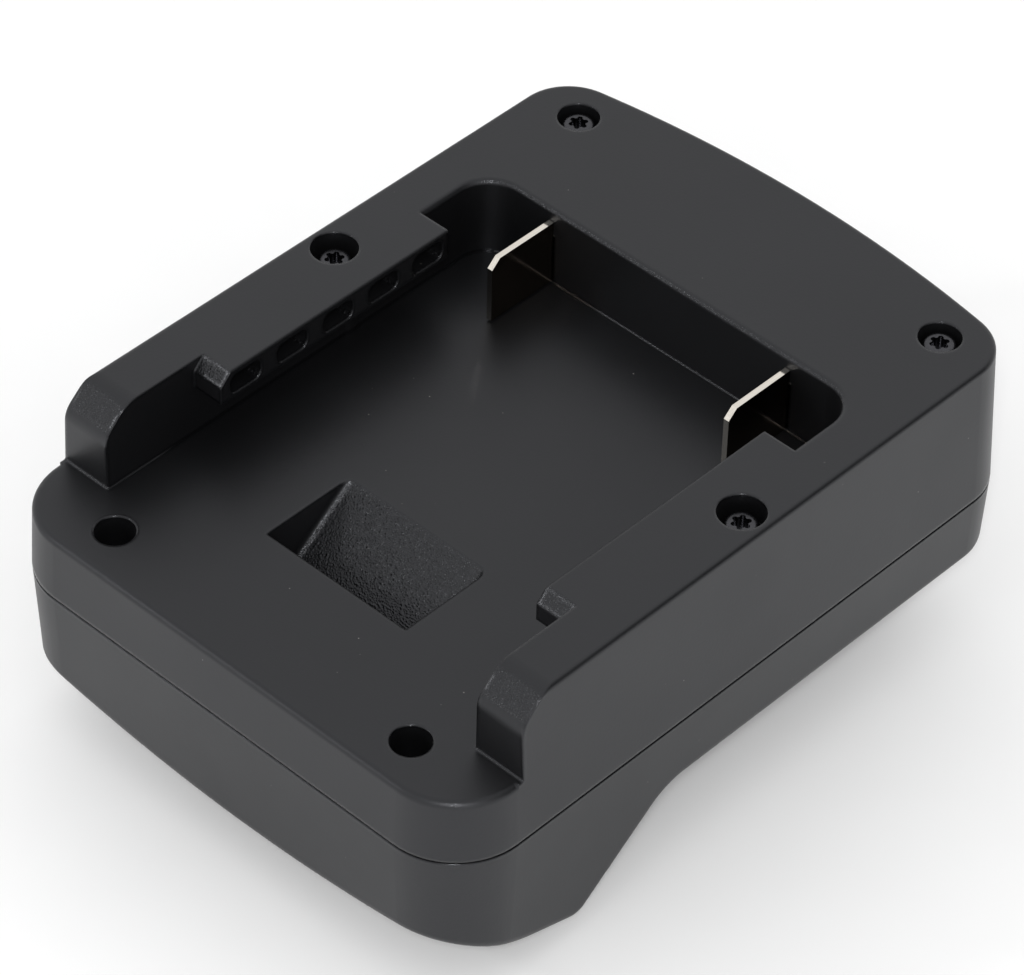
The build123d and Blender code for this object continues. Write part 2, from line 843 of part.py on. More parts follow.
with BuildPart() as blade_carrier:
    add(block(-carrier_width / 2, carrier_width / 2, carrier_near_y, carrier_far_y,
              carrier_top_z - carrier_height, carrier_top_z))
    for ear_x, _ in carrier_screws_at:
        add(block(ear_x - carrier_ear_width / 2, ear_x + carrier_ear_width / 2, carrier_far_y,
                  carrier_far_y + carrier_ear_length, carrier_ear_top_z - carrier_ear_thickness,
                  carrier_ear_top_z))
    add(blade_slots(carrier_near_y - cut_overrun, carrier_far_y + cut_overrun), mode=Mode.SUBTRACT)
    add(posts(carrier_screws_at, small_shank_radius + small_hole_clearance,
              carrier_ear_top_z - cut_overrun * 2, carrier_ear_top_z + cut_overrun), mode=Mode.SUBTRACT)
blade_carrier.part.label = "blade_carrier"
export_step(blade_carrier.part, "parts/blade_carrier.step")


def star_socket(top):
    """A six-lobed socket, sunk from the top of a screw's head."""
    with BuildPart() as solid:
        with BuildSketch(Plane.XY.offset(top - star_socket_depth)):
            Circle(star_socket_radius)
            with PolarLocations(star_socket_radius, star_lobe_count):
                Circle(star_lobe_radius)
        extrude(amount=star_socket_depth + cut_overrun)
    return solid.part


def housing_screws(places, head_z):
    """Self-tapping screws with domed heads, standing head up at the places."""
    with BuildPart() as one:
        add(posts([(0, 0)], screw_head_radius, head_z - screw_head_height + seat_gap, head_z))
        fillet(one.faces().sort_by(Axis.Z)[-1].edges(), screw_head_round)
        add(posts([(0, 0)], screw_shank_radius, screw_tip_z, head_z - screw_head_height + seat_gap))
        chamfer(one.faces().sort_by(Axis.Z)[0].edges(), screw_shank_radius / 2)
        add(star_socket(head_z), mode=Mode.SUBTRACT)
    with BuildPart() as row:
        with Locations(*places):
            add(one.part)
    return row.part


with BuildPart() as far_screws:
    add(housing_screws(far_screws_at, far_head_z))
far_screws.part.label = "far_screws"
export_step(far_screws.part, "parts/far_screws.step")

with BuildPart() as rail_screws:
    add(housing_screws(rail_screws_at, rail_head_z))
rail_screws.part.label = "rail_screws"
export_step(rail_screws.part, "parts/rail_screws.step")

with BuildPart() as front_screws:
    add(housing_screws(front_screws_at, front_head_z))
front_screws.part.label = "front_screws"
export_step(front_screws.part, "parts/front_screws.step")


def small_screws(places, seat_z, thickness, turn):
    """Cross-head screws through a plate of the given thickness, head up or turned head down."""
    head = small_head_height
    with BuildPart() as one:
        add(posts([(0, 0)], small_head_radius, seat_gap, head))
        fillet(one.faces().sort_by(Axis.Z)[-1].edges(), head / 2)
        add(posts([(0, 0)], small_shank_radius, -thickness - small_grip + seat_gap * 2, seat_gap))
        reach = small_head_radius / 2
        half = small_cross_width / 2
        add(block(-reach, reach, -half, half, head - small_cross_depth, head), mode=Mode.SUBTRACT)
        add(block(-half, half, -reach, reach, head - small_cross_depth, head), mode=Mode.SUBTRACT)
    with BuildPart() as row:
        for x, y in places:
            add(one.part.rotate(Axis.X, turn).moved(Location((x, y, seat_z))))
    return row.part


with BuildPart() as blade_carrier_screws:
    add(small_screws(carrier_screws_at, carrier_ear_top_z - carrier_ear_thickness, carrier_ear_thickness,
                     head_down_turn))
blade_carrier_screws.part.label = "blade_carrier_screws"
export_step(blade_carrier_screws.part, "parts/blade_carrier_screws.step")


# Output terminal block with its clips
def terminal_places():
    """The x of the three contacts: negative, signal, positive."""
    return (-terminal_pitch, 0, terminal_pitch)


with BuildPart() as output_terminal_block:
    add(block(-block_width / 2, block_width / 2, block_near_end_y, slide_far_y,
              block_floor_gap, block_top_z))
    add(block(-block_flange_width / 2, block_flange_width / 2, block_near_end_y,
              trough_far_y - block_clearance, block_flange_z, block_flange_z + block_flange_thickness))
    for ear_x, _ in block_screws_at:
        add(block(ear_x - block_ear_width / 2, ear_x + block_ear_width / 2,
                  block_near_end_y - block_ear_length, block_near_end_y, block_ear_z,
                  block_ear_z + block_flange_thickness))
    for x in terminal_places():
        add(block(x - chamber_width / 2, x + chamber_width / 2, chamber_near_y, chamber_far_y,
                  block_floor_gap + chamber_floor, block_top_z + cut_overrun), mode=Mode.SUBTRACT)
        add(block(x - tool_slot_width / 2, x + tool_slot_width / 2, slide_far_y - tool_slot_length,
                  slide_far_y + cut_overrun, -cut_overrun, block_floor_gap + tool_slot_height),
            mode=Mode.SUBTRACT)
    add(posts(block_screws_at, small_shank_radius + small_hole_clearance, block_ear_z - cut_overrun,
              block_ear_z + block_flange_thickness + cut_overrun), mode=Mode.SUBTRACT)
output_terminal_block.part.label = "output_terminal_block"
export_step(output_terminal_block.part, "parts/output_terminal_block.step")

with BuildPart() as terminal_block_screws:
    add(small_screws(block_screws_at, block_ear_z + block_flange_thickness, block_flange_thickness, 0))
terminal_block_screws.part.label = "terminal_block_screws"
export_step(terminal_block_screws.part, "parts/terminal_block_screws.step")


def contact_clip(x, height):
    """A sprung fork contact: two leaves that close towards their mouths, and a solder tab."""
    contact = clip_length * clip_contact_share
    right = [
        (x + clip_gap / 2 + clip_thickness / 2, clip_base_y),
        (x + clip_pinch / 2 + clip_thickness / 2, clip_base_y + contact),
        (x + clip_mouth / 2 + clip_thickness / 2, clip_base_y + clip_length),
    ]
    left = [(2 * x - place_x, y) for place_x, y in right]
    with BuildPart() as solid:
        with BuildSketch(Plane.XY.offset(clip_foot_z)):
            with BuildLine() as fork:
                FilletPolyline(*reversed(right), *left, radius=clip_bend)
            trace(fork.edges(), clip_thickness)
        extrude(amount=height)
        add(block(x - clip_tab_width / 2, x + clip_tab_width / 2, clip_base_y - clip_thickness / 2,
                  clip_base_y + clip_thickness / 2, clip_foot_z, clip_tab_top_z))
    return solid.part


with BuildPart() as positive_output_clip:
    add(contact_clip(terminal_pitch, clip_height))
positive_output_clip.part.label = "positive_output_clip"
export_step(positive_output_clip.part, "parts/positive_output_clip.step")

with BuildPart() as negative_output_clip:
    add(contact_clip(-terminal_pitch, clip_height))
negative_output_clip.part.label = "negative_output_clip"
export_step(negative_output_clip.part, "parts/negative_output_clip.step")

with BuildPart() as signal_clip:
    add(contact_clip(0, signal_clip_height))
signal_clip.part.label = "signal_clip"
export_step(signal_clip.part, "parts/signal_clip.step")

# Circuit board and what it carries
with BuildPart() as circuit_board:
    add(block(-board_width / 2, board_width / 2, board_near_y, board_far_y, board_height, board_top_z))
    add(posts(board_holes_at, small_shank_radius + small_hole_clearance, board_height - cut_overrun,
              board_top_z + cut_overrun), mode=Mode.SUBTRACT)
circuit_board.part.label = "circuit_board"
export_step(circuit_board.part, "parts/circuit_board.step")

with BuildPart() as board_screws:
    add(small_screws(board_holes_at, board_top_z, board_thickness, 0))
board_screws.part.label = "board_screws"
export_step(board_screws.part, "parts/board_screws.step")

with BuildPart() as power_transistors:
    for step in range(transistor_count):
        x = (step - (transistor_count - 1) / 2) * transistor_pitch
        y = board_near_y + transistor_inset
        add(block(x - transistor_width / 2, x + transistor_width / 2, y - transistor_length / 2,
                  y + transistor_length / 2, part_foot_z, part_foot_z + transistor_height))
        add(block(x - transistor_width / 2, x + transistor_width / 2, y,
                  y + transistor_length / 2 + transistor_tab, part_foot_z,
                  part_foot_z + transistor_tab_thickness))
power_transistors.part.label = "power_transistors"
export_step(power_transistors.part, "parts/power_transistors.step")

with BuildPart() as controller_chip:
    chip_y = board_near_y + chip_distance
    add(block(chip_x - chip_length / 2, chip_x + chip_length / 2, chip_y - chip_width / 2,
              chip_y + chip_width / 2, part_foot_z, part_foot_z + chip_height))
    for step in range(chip_pin_count):
        x = chip_x + (step - (chip_pin_count - 1) / 2) * chip_pin_pitch
        reach = chip_width / 2 + chip_pin_reach
        add(block(x - chip_pin_width / 2, x + chip_pin_width / 2, chip_y - reach, chip_y + reach,
                  part_foot_z, part_foot_z + chip_pin_thickness))
controller_chip.part.label = "controller_chip"
export_step(controller_chip.part, "parts/controller_chip.step")

with BuildPart() as smoothing_capacitor:
    capacitor_y = board_near_y + capacitor_distance
    with BuildSketch(Plane((capacitor_x, capacitor_y, 0), x_dir=(1, 0, 0), z_dir=(0, -1, 0))):
        with BuildLine():
            groove_z = part_foot_z + capacitor_groove_height
            FilletPolyline(
                (0, part_foot_z),
                (capacitor_radius, part_foot_z),
                (capacitor_radius, groove_z - capacitor_groove),
                (capacitor_radius - capacitor_groove, groove_z),
                (capacitor_radius, groove_z + capacitor_groove),
                (capacitor_radius, part_foot_z + capacitor_height),
                (0, part_foot_z + capacitor_height),
                radius=[0, 0, 0, 0, 0, capacitor_round, 0],
                close=True,
            )
        make_face()
    revolve(axis=Axis((capacitor_x, capacitor_y, 0), (0, 0, 1)))
smoothing_capacitor.part.label = "smoothing_capacitor"
export_step(smoothing_capacitor.part, "parts/smoothing_capacitor.step")

with BuildPart() as current_shunt:
    shunt_y = board_near_y + shunt_distance
    add(block(chip_x - shunt_length / 2, chip_x + shunt_length / 2, shunt_y - shunt_width / 2,
              shunt_y + shunt_width / 2, part_foot_z, part_foot_z + shunt_height))
    chamfer(current_shunt.edges().filter_by(Axis.Y).group_by(Axis.Z)[-1], shunt_height / 2)
current_shunt.part.label = "current_shunt"
export_step(current_shunt.part, "parts/current_shunt.step")

with BuildPart() as chip_resistors:
    for step in range(resistor_count):
        x = (step - (resistor_count - 1) / 2) * resistor_pitch
        y = board_near_y + resistor_distance
        add(block(x - resistor_width / 2, x + resistor_width / 2, y - resistor_length / 2,
                  y + resistor_length / 2, part_foot_z, part_foot_z + resistor_height))
chip_resistors.part.label = "chip_resistors"
export_step(chip_resistors.part, "parts/chip_resistors.step")


# Leads
def lead(diameter, bend, *route):
    """A round lead along straight runs joined by tangent arcs."""
    with BuildPart() as solid:
        with BuildLine() as path:
            FilletPolyline(*route, radius=bend)
        with BuildSketch(Plane(origin=path.line @ 0, z_dir=path.line % 0)):
            Circle(diameter / 2)
        sweep(path=path.line)
    return solid.part


def input_lead(side):
    """From a battery blade's solder tab down and back to its pad on the board."""
    tab = (side * blade_spacing / 2, blade_tab_y, blade_tab_bottom_z - solder_gap)
    pad = (side * input_pad_spacing / 2, board_near_y + input_pad_distance, part_foot_z)
    over_tab = (tab[0], tab[1], lead_top_z)
    over_pad = (pad[0], pad[1], lead_top_z)
    return lead(power_lead_diameter, lead_bend, tab, over_tab, over_pad, pad)


def output_lead(x, diameter, bend):
    """From a pad near the board's far edge up and over to a clip's solder tab."""
    pad = (x, board_near_y + output_pad_distance, part_foot_z)
    tab = (x, clip_base_y, clip_tab_top_z + solder_gap)
    return lead(diameter, bend, pad, (x, pad[1], lead_top_z), (x, tab[1], lead_top_z), tab)


with BuildPart() as positive_input_wire:
    add(input_lead(1))
positive_input_wire.part.label = "positive_input_wire"
export_step(positive_input_wire.part, "parts/positive_input_wire.step")

with BuildPart() as negative_input_wire:
    add(input_lead(-1))
negative_input_wire.part.label = "negative_input_wire"
export_step(negative_input_wire.part, "parts/negative_input_wire.step")

with BuildPart() as positive_output_wire:
    add(output_lead(terminal_pitch, power_lead_diameter, lead_bend))
positive_output_wire.part.label = "positive_output_wire"
export_step(positive_output_wire.part, "parts/positive_output_wire.step")

with BuildPart() as negative_output_wire:
    add(output_lead(-terminal_pitch, power_lead_diameter, lead_bend))
negative_output_wire.part.label = "negative_output_wire"
export_step(negative_output_wire.part, "parts/negative_output_wire.step")

with BuildPart() as signal_wire:
    add(output_lead(0, signal_lead_diameter, signal_lead_bend))
signal_wire.part.label = "signal_wire"
export_step(signal_wire.part, "parts/signal_wire.step")

# Release latch: button, plate and hook in one moulding
with BuildPart() as release_latch:
    button_foot_z = scoop_height - button_stand
    add(block(-button_width / 2, button_width / 2, button_near_y, button_far_y,
              button_foot_z, latch_plate_z))
    fillet(release_latch.edges().filter_by(Axis.Z), button_rib_width)
    for step in range(button_rib_count):
        rib_y = (button_near_y + button_far_y) / 2 + (step - (button_rib_count - 1) / 2) * button_rib_pitch
        add(block(-button_width / 2 + button_rib_width, button_width / 2 - button_rib_width,
                  rib_y - button_rib_width / 2, rib_y + button_rib_width / 2,
                  button_foot_z - button_rib_height, button_foot_z))
    add(block(-button_width / 2 - latch_flange, button_width / 2 + latch_flange,
              button_near_y - latch_flange, button_far_y + latch_flange, latch_plate_z, latch_top_z))
    add(block(-latch_plate_width / 2, latch_plate_width / 2, button_far_y, hook_far_y,
              latch_plate_z, latch_top_z))
    add(
        bar_x(
            hook_width,
            (hook_near_y, latch_top_z),
            (hook_near_y, hook_floor_gap),
            (hook_near_y + hook_tip_length, hook_floor_gap),
            (hook_far_y, valley_depth),
            (hook_far_y, latch_top_z),
        )
    )
    add(posts(springs_at, spring_pin_radius, latch_top_z - seat_gap, latch_top_z + spring_pin_height))
release_latch.part.label = "release_latch"
export_step(release_latch.part, "parts/release_latch.step")


def coil_spring(x, y, z0, z1):
    """A compression spring: each half turn of its helix is two arcs that meet smoothly."""
    halves = spring_turns * 2
    climb = (z1 - z0 - spring_wire) / halves
    lean = atan2(climb, spring_mean_radius * pi)
    stations = []
    for step in range(halves + 1):
        angle = step * pi
        place = (
            x + spring_mean_radius * cos(angle),
            y + spring_mean_radius * sin(angle),
            z0 + spring_wire / 2 + climb * step,
        )
        heading = (-sin(angle) * cos(lean), cos(angle) * cos(lean), sin(lean))
        stations.append((Vector(*place), Vector(*heading)))
    with BuildPart() as solid:
        with BuildLine() as path:
            for (start, start_heading), (end, end_heading) in zip(stations, stations[1:]):
                chord = end - start
                both = start_heading + end_heading
                spread = 2 * (1 - start_heading.dot(end_heading))
                root = sqrt(chord.dot(both) ** 2 + spread * chord.dot(chord))
                reach = (root - chord.dot(both)) / spread
                joint = (start + end + (start_heading - end_heading) * reach) / 2
                TangentArc(start, joint, tangent=start_heading)
                TangentArc(end, joint, tangent=end_heading * -1)
        with BuildSketch(Plane(origin=stations[0][0], z_dir=stations[0][1])):
            Circle(spring_wire / 2)
        sweep(path=path.line)
    return solid.part


with BuildPart() as latch_springs:
    for x, y in springs_at:
        add(coil_spring(x, y, latch_top_z + seat_gap, pocket_under_z - seat_gap))
latch_springs.part.label = "latch_springs"
export_step(latch_springs.part, "parts/latch_springs.step")

coil_pitch = (pocket_under_z - latch_top_z - spring_wire) / spring_turns
print("least gap of the spring to itself, mm:", round(coil_pitch - spring_wire, 2))
print("bend radii of the leads, mm:", lead_bend, signal_lead_bend)
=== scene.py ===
"""Looks of the tool battery adapter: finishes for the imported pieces, soft light and a pale floor."""
import json

import bpy
from mathutils import Matrix, Vector


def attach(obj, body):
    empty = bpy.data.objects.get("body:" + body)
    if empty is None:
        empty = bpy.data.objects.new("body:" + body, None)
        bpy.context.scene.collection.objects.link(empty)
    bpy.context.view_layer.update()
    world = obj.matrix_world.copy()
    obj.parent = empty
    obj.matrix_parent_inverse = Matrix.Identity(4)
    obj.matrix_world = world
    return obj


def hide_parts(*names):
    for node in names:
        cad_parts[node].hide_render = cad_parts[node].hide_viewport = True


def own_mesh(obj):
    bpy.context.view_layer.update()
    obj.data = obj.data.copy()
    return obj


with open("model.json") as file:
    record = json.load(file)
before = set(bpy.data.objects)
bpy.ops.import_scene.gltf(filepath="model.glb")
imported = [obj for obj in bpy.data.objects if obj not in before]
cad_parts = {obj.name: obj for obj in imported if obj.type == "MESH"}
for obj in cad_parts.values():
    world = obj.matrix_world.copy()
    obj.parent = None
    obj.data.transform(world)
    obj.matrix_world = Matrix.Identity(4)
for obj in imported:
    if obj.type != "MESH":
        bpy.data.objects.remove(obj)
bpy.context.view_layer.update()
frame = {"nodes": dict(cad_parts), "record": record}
MM = 0.001


# Camera at the photograph's angle
CAMERA_PLACE_MM = (307.81, -334.71, 451.08)
CAMERA_BACK = (0.49777, -0.53835, 0.68000)
CAMERA_UP = (-0.48024, 0.48179, 0.73297)
SENSOR_MM = 36.0
LENS_MM = 175.93
NEAREST_SEEN_MM = 10.0


def aim(place_mm, back, up):
    """Matrix of a camera or light that looks against the back direction with the given up."""
    z_axis = Vector(back).normalized()
    x_axis = Vector(up).cross(z_axis).normalized()
    y_axis = z_axis.cross(x_axis)
    turned = Matrix((x_axis, y_axis, z_axis)).transposed().to_4x4()
    return Matrix.Translation(Vector(place_mm) * MM) @ turned


camera = bpy.data.objects.new("camera", bpy.data.cameras.new("camera"))
camera.data.sensor_width = SENSOR_MM
camera.data.lens = LENS_MM
camera.data.clip_start = NEAREST_SEEN_MM * MM
camera.matrix_world = aim(CAMERA_PLACE_MM, CAMERA_BACK, CAMERA_UP)
bpy.context.collection.objects.link(camera)
bpy.context.scene.camera = camera
bpy.context.scene.view_settings.view_transform = "Standard"


# Small functions that add nodes
# Where a mix node of each kind has its factor, its two inputs and its result
MIX_SOCKETS = {"FLOAT": (0, 2, 3, 0), "VECTOR": (0, 4, 5, 1), "RGBA": (0, 6, 7, 2)}


def colour(hex_value):
    """Linear RGBA from an sRGB hex value. Each channel goes through the sRGB curve: a straight line
    near black, a power of 2.4 above it."""
    parts = [int(hex_value[i : i + 2], 16) / 255 for i in (1, 3, 5)]
    return [p / 12.92 if p <= 0.04045 else ((p + 0.055) / 1.055) ** 2.4 for p in parts] + [1.0]


def put(tree, kind, inputs=None, **settings):
    """Adds one node with its settings; an input given as a socket is linked, any other is set."""
    node = tree.nodes.new(kind)
    for name, value in settings.items():
        setattr(node, name, value)
    for name, value in (inputs or {}).items():
        socket = node.inputs[name]
        if isinstance(value, bpy.types.NodeSocket):
            tree.links.new(value, socket)
        else:
            socket.default_value = value
    return node


def maths(tree, operation, *values):
    """Result of one sum or comparison."""
    return put(tree, "ShaderNodeMath", dict(enumerate(values)), operation=operation).outputs[0]


def product(tree, first, *others):
    """All the factors multiplied."""
    for other in others:
        first = maths(tree, "MULTIPLY", first, other)
    return first


def remap(tree, value, span, low=0.0, high=1.0):
    """Goes from low to high as the value goes through the span, and stays there beyond it."""
    return put(tree, "ShaderNodeMapRange", {"Value": value, "From Min": span[0], "From Max": span[1],
                                            "To Min": low, "To Max": high}).outputs[0]


def mix(tree, factor, first, second, kind="FLOAT"):
    """First where the factor is 0, second where it is 1."""
    factor_at, first_at, second_at, result_at = MIX_SOCKETS[kind]
    inputs = {factor_at: factor, first_at: first, second_at: second}
    return put(tree, "ShaderNodeMix", inputs, data_type=kind).outputs[result_at]


def per_metre(size_mm):
    """Scale of a pattern whose blobs or cells are about the given size across: one over the size."""
    return 1 / (size_mm * MM)


def noise(tree, place, size_mm, detail, roughness=0.5):
    """Soft blobs of about the given size."""
    return put(tree, "ShaderNodeTexNoise", {"Vector": place, "Scale": per_metre(size_mm),
                                            "Detail": detail, "Roughness": roughness}).outputs["Fac"]


def cells(tree, place, size_mm):
    """Distance from the middle of each cell, in shares of its size, and a random share per cell."""
    found = put(tree, "ShaderNodeTexVoronoi", {"Vector": place, "Scale": per_metre(size_mm)})
    drawn = put(tree, "ShaderNodeSeparateColor", {0: found.outputs["Color"]})
    return found.outputs["Distance"], drawn.outputs[0]


def relief(tree, height, depth_mm, strength, **normal):
    """Normal of a surface with fine relief of the given depth."""
    return put(tree, "ShaderNodeBump", {"Height": height, "Distance": depth_mm * MM,
                                        "Strength": strength, **normal}).outputs["Normal"]


def split(tree, vector):
    """X, Y and Z of a vector."""
    return put(tree, "ShaderNodeSeparateXYZ", {0: vector}).outputs


def material(name):
    """An empty node material with its shader and output; returns it with tree, shader and place."""
    made = bpy.data.materials.new(name)
    made.use_nodes = True
    tree = made.node_tree
    tree.nodes.clear()
    shader = put(tree, "ShaderNodeBsdfPrincipled")
    output = put(tree, "ShaderNodeOutputMaterial")
    tree.links.new(shader.outputs["BSDF"], output.inputs["Surface"])
    return made, tree, shader, put(tree, "ShaderNodeTexCoord").outputs["Object"]


# Black plastic: sizes of its patterns, and the roughness of each part of its skin
SHEEN_PATCH_MM = 30.0
SHEEN_PATCH_SPAN = (0.3, 0.7)
SATIN_ROUGHNESS = (0.38, 0.46)
GRAIN_MM = 0.35
GRAIN_STRENGTH = 0.10
PIT_MM = 0.27
PIT_ROUGHNESS = (0.16, 0.46)
PIT_STRENGTH = 0.75
SKIN_RELIEF_MM = 0.12
BROKEN_EDGE_MM = 0.5
RUBBED_EDGE_MM = 1.0
EDGE_SAMPLES = 6
RUBBED_ROUGHNESS = 0.20
PLASTIC_IOR = 1.53
COOL_SHINE = "#f6f8ff"

# An edge is rubbed where the product of its rounded and its true normal falls through this span
RUBBED_SPAN = (0.995, 0.95)

# Pits begin and are full at these values of a face's normal, and only beyond this place along Y
PITS_FACING_SPAN = (-0.30, -0.50)
PITS_RISING_SPAN = (0.42, 0.60)
PITS_BEYOND_MM = -45.0

# The foot of each channel side stays sharp under its overhang: below, between and beyond these
SHARP_BELOW_MM = 42.0
SHARP_ACROSS_MM = (29.0, 31.6)
SHARP_ALONG_MM = (-34.0, -27.0)

# Dust: one cell in two may hold a fleck, which fills a small share of its cell
DUST_CELL_MM = 3.0
DUST_RIM_SPAN = (0.035, 0.015)
DUST_KEPT_SPAN = (0.5, 1.0)
DUST_MOST = 0.9
DUST_COLOUR = "#8c8a86"


def edge_normals(tree):
    """True normal, normal with softly broken edges, and how far the spot is on a rubbed edge."""
    true_normal = put(tree, "ShaderNodeNewGeometry").outputs["Normal"]
    broken, wide = (put(tree, "ShaderNodeBevel", {"Radius": radius_mm * MM}, samples=EDGE_SAMPLES).outputs[0]
                    for radius_mm in (BROKEN_EDGE_MM, RUBBED_EDGE_MM))
    turn = put(tree, "ShaderNodeVectorMath", {0: wide, 1: true_normal}, operation="DOT_PRODUCT")
    return true_normal, broken, remap(tree, turn.outputs["Value"], RUBBED_SPAN)


def on_lead_in(tree, place, true_normal, rubbed):
    """1 on the slopes that guide the battery in, less on their rubbed edges, 0 elsewhere."""
    normal = split(tree, true_normal)
    facing = remap(tree, normal["Y"], PITS_FACING_SPAN)
    rising = remap(tree, normal["Z"], PITS_RISING_SPAN)
    inward = maths(tree, "GREATER_THAN", split(tree, place)["Y"], PITS_BEYOND_MM * MM)
    return product(tree, facing, rising, inward, maths(tree, "SUBTRACT", 1.0, rubbed))


def under_overhang(tree, place):
    """1 at the foot of the channel's sides under the overhangs, 0 elsewhere."""
    spot = split(tree, place)
    across = maths(tree, "ABSOLUTE", spot["X"])
    below = maths(tree, "LESS_THAN", spot["Z"], SHARP_BELOW_MM * MM)
    beside = maths(tree, "GREATER_THAN", across, SHARP_ACROSS_MM[0] * MM)
    beyond = remap(tree, spot["Y"], [at * MM for at in SHARP_ALONG_MM])
    inside = maths(tree, "LESS_THAN", across, SHARP_ACROSS_MM[1] * MM)
    return product(tree, below, beside, beyond, inside)


def dust(tree, place):
    """How far a spot is covered by one of the rare flecks of dust."""
    distance, drawn = cells(tree, place, DUST_CELL_MM)
    near = remap(tree, distance, DUST_RIM_SPAN)
    return product(tree, near, remap(tree, drawn, DUST_KEPT_SPAN, high=DUST_MOST))


def moulded_abs(name, dark, light, lead_in_texture=False):
    """Black injection-moulded ABS: a deep satin whose sheen changes slowly over the surface, with
    fine mould grain, softly broken edges that rubbing has polished, and a few flecks of dust. On the
    lead-in slopes the grain gives way to the glittering pits that spark erosion leaves in a mould."""
    made, tree, shader, place = material(name)
    clouds = noise(tree, place, SHEEN_PATCH_MM, detail=3.0, roughness=0.55)
    rough = remap(tree, clouds, SHEEN_PATCH_SPAN, *SATIN_ROUGHNESS)
    height = noise(tree, place, GRAIN_MM, detail=2.0, roughness=0.6)
    strength = GRAIN_STRENGTH
    true_normal, edges, rubbed = edge_normals(tree)
    if lead_in_texture:
        pits = on_lead_in(tree, place, true_normal, rubbed)
        distance, drawn = cells(tree, place, PIT_MM)
        rough = mix(tree, pits, rough, remap(tree, drawn, (0.0, 1.0), *PIT_ROUGHNESS))
        height = mix(tree, pits, height, distance)
        strength = mix(tree, pits, strength, PIT_STRENGTH)
        edges = mix(tree, under_overhang(tree, place), edges, true_normal, "VECTOR")
    rough = mix(tree, rubbed, rough, RUBBED_ROUGHNESS)
    tone = mix(tree, clouds, colour(dark), colour(light), "RGBA")
    dusted = mix(tree, dust(tree, place), tone, colour(DUST_COLOUR), "RGBA")
    tree.links.new(dusted, shader.inputs["Base Color"])
    tree.links.new(rough, shader.inputs["Roughness"])
    tree.links.new(relief(tree, height, SKIN_RELIEF_MM, strength, Normal=edges), shader.inputs["Normal"])
    shader.inputs["IOR"].default_value = PLASTIC_IOR
    shader.inputs["Specular Tint"].default_value = colour(COOL_SHINE)
    return made


# Metal and insulation
POLISHED_BY = 0.06
DULLED_BY = 0.10
STREAK_RELIEF_MM = 0.01
FLOW_RELIEF_MM = 0.05
FINE_STRENGTH = 0.2
INSULATION_IOR = 1.5


def worked_metal(name, dark, light, roughness, streak_mm, along=(1, 1, 1), painted_reflection=None):
    """Rolled, drawn or turned metal: fine streaks along the way it was worked, so that highlights
    break up along them. Where a painted reflection colour is given, the broad faces that look along X
    are painted that colour as a painted dark reflection, and only the cut edges are bright."""
    made, tree, shader, place = material(name)
    drawn = put(tree, "ShaderNodeMapping", {"Vector": place, "Scale": along}).outputs[0]
    streaks = noise(tree, drawn, streak_mm, detail=4.0, roughness=0.6)
    surface = mix(tree, streaks, colour(dark), colour(light), "RGBA")
    # The broad faces that look along X are painted the given brown-grey: a painted dark reflection, not a
    # real tarnish
    if painted_reflection:
        normal = split(tree, put(tree, "ShaderNodeNewGeometry").outputs["Normal"])
        surface = mix(tree, maths(tree, "ABSOLUTE", normal["X"]), surface, colour(painted_reflection), "RGBA")
    polish = remap(tree, streaks, (0.0, 1.0), roughness - POLISHED_BY, roughness + DULLED_BY)
    tree.links.new(surface, shader.inputs["Base Color"])
    tree.links.new(polish, shader.inputs["Roughness"])
    tree.links.new(relief(tree, streaks, STREAK_RELIEF_MM, FINE_STRENGTH), shader.inputs["Normal"])
    shader.inputs["Metallic"].default_value = 1.0
    return made


def moulded_insulator(name, dark, light, roughness, grain_mm):
    """Moulded or extruded insulation: even colour with a slight flow marbling and soft grain."""
    made, tree, shader, place = material(name)
    grain = noise(tree, place, grain_mm, detail=3.0)
    tree.links.new(mix(tree, grain, colour(dark), colour(light), "RGBA"), shader.inputs["Base Color"])
    tree.links.new(relief(tree, grain, FLOW_RELIEF_MM, FINE_STRENGTH), shader.inputs["Normal"])
    shader.inputs["Roughness"].default_value = roughness
    shader.inputs["IOR"].default_value = INSULATION_IOR
    return made


